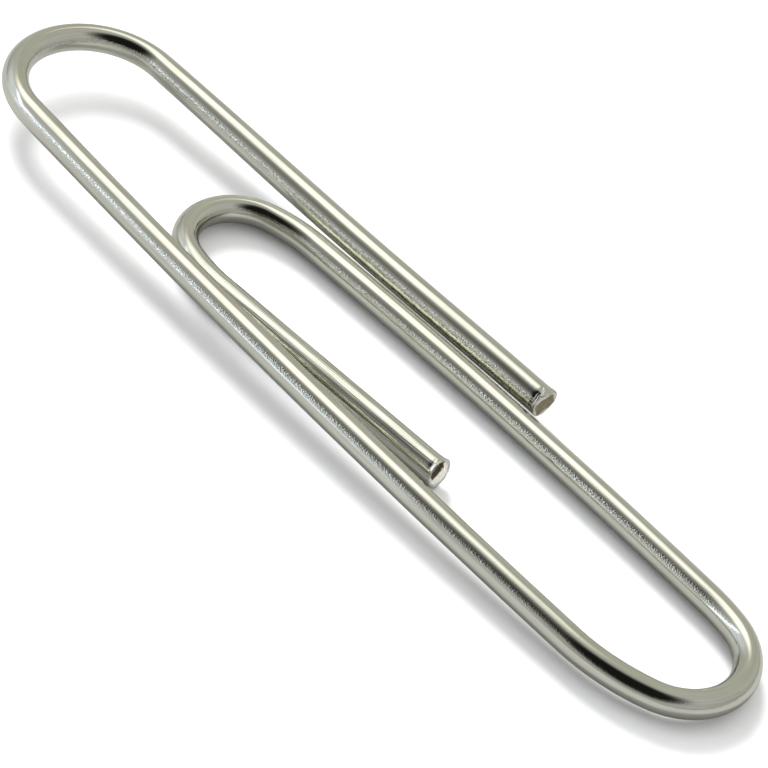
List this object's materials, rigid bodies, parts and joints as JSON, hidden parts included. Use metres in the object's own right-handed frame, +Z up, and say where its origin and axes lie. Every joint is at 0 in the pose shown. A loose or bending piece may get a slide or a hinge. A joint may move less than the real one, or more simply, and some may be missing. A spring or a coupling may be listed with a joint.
{
  "type": "paper clip",
  "caption": "Bent wire paper clip: a long outer loop and a shorter inner loop share one end bend and twist apart there to grip sheets of paper.",
  "frame": {"origin": "below the middle of the clip's length and width, on the surface that the inner loop lies on", "axes": "+X along the clip towards the bend that both loops share, +Z up out of the surface it lies on"},
  "size_m": [0.0332, 0.0074, 0.0018],
  "materials": {
    "plated_wire": "bright plating on drawn steel wire, with fine draw lines"
  },
  "bodies": {
    "inner_loop": {"near_bend_inner_half": "plated_wire", "long_inner_leg": "plated_wire", "inner_bend": "plated_wire", "short_inner_leg": "plated_wire"},
    "outer_loop": {"near_bend_outer_half": "plated_wire", "long_outer_leg": "plated_wire", "far_bend": "plated_wire", "short_outer_leg": "plated_wire"}
  },
  "joints": [
    {"name": "loop_opening", "type": "hinge", "parent": "inner_loop", "child": "outer_loop", "pos_m": [0.0161, -0.00059, 0.00047], "axis": [0, 1, 0], "range_deg": [-1.55, 8], "stiffness_Nm_per_rad": 0.32}
  ]
}
